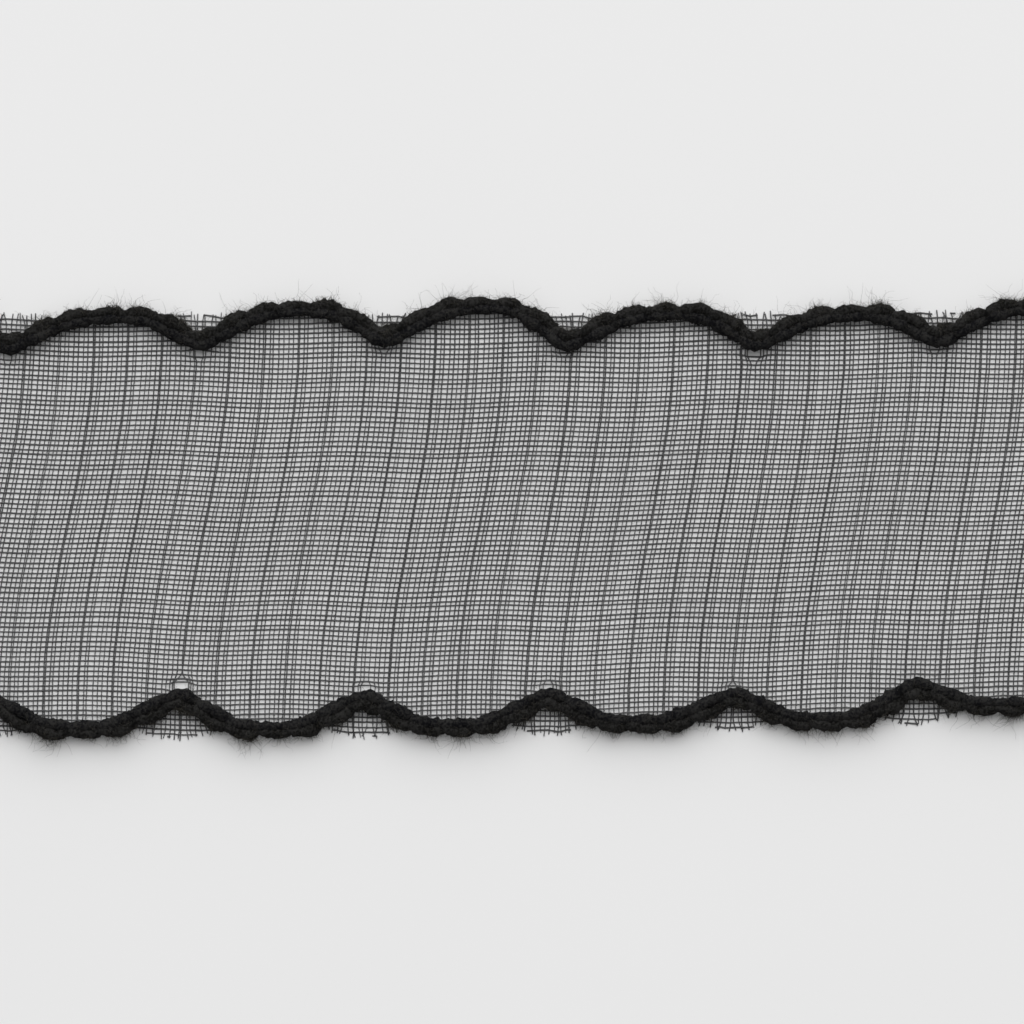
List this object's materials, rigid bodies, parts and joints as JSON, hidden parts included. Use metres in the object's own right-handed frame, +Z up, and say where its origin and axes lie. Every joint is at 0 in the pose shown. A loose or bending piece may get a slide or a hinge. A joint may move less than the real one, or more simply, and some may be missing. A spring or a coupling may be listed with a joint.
{
  "type": "length of scallop-edged organza ribbon",
  "caption": "Cut length of sheer organza ribbon lying flat, with a chain of thick fuzzy yarn sewn in scallops along both edges.",
  "frame": {"origin": "on the surface that the ribbon lies on, under the middle of its box", "axes": "+X along the ribbon, +Y across it towards its upper edge in the picture, +Z up from the surface"},
  "size_m": [0.0956, 0.0256, 0.0017],
  "materials": {
    "organza": "sheer plain weave of fine black filament thread",
    "edging_yarn": "matte fuzzy black yarn"
  },
  "bodies": {
    "root": {"organza_strip": "organza", "upper_yarn_edging": "edging_yarn", "lower_yarn_edging": "edging_yarn"}
  },
  "joints": []
}
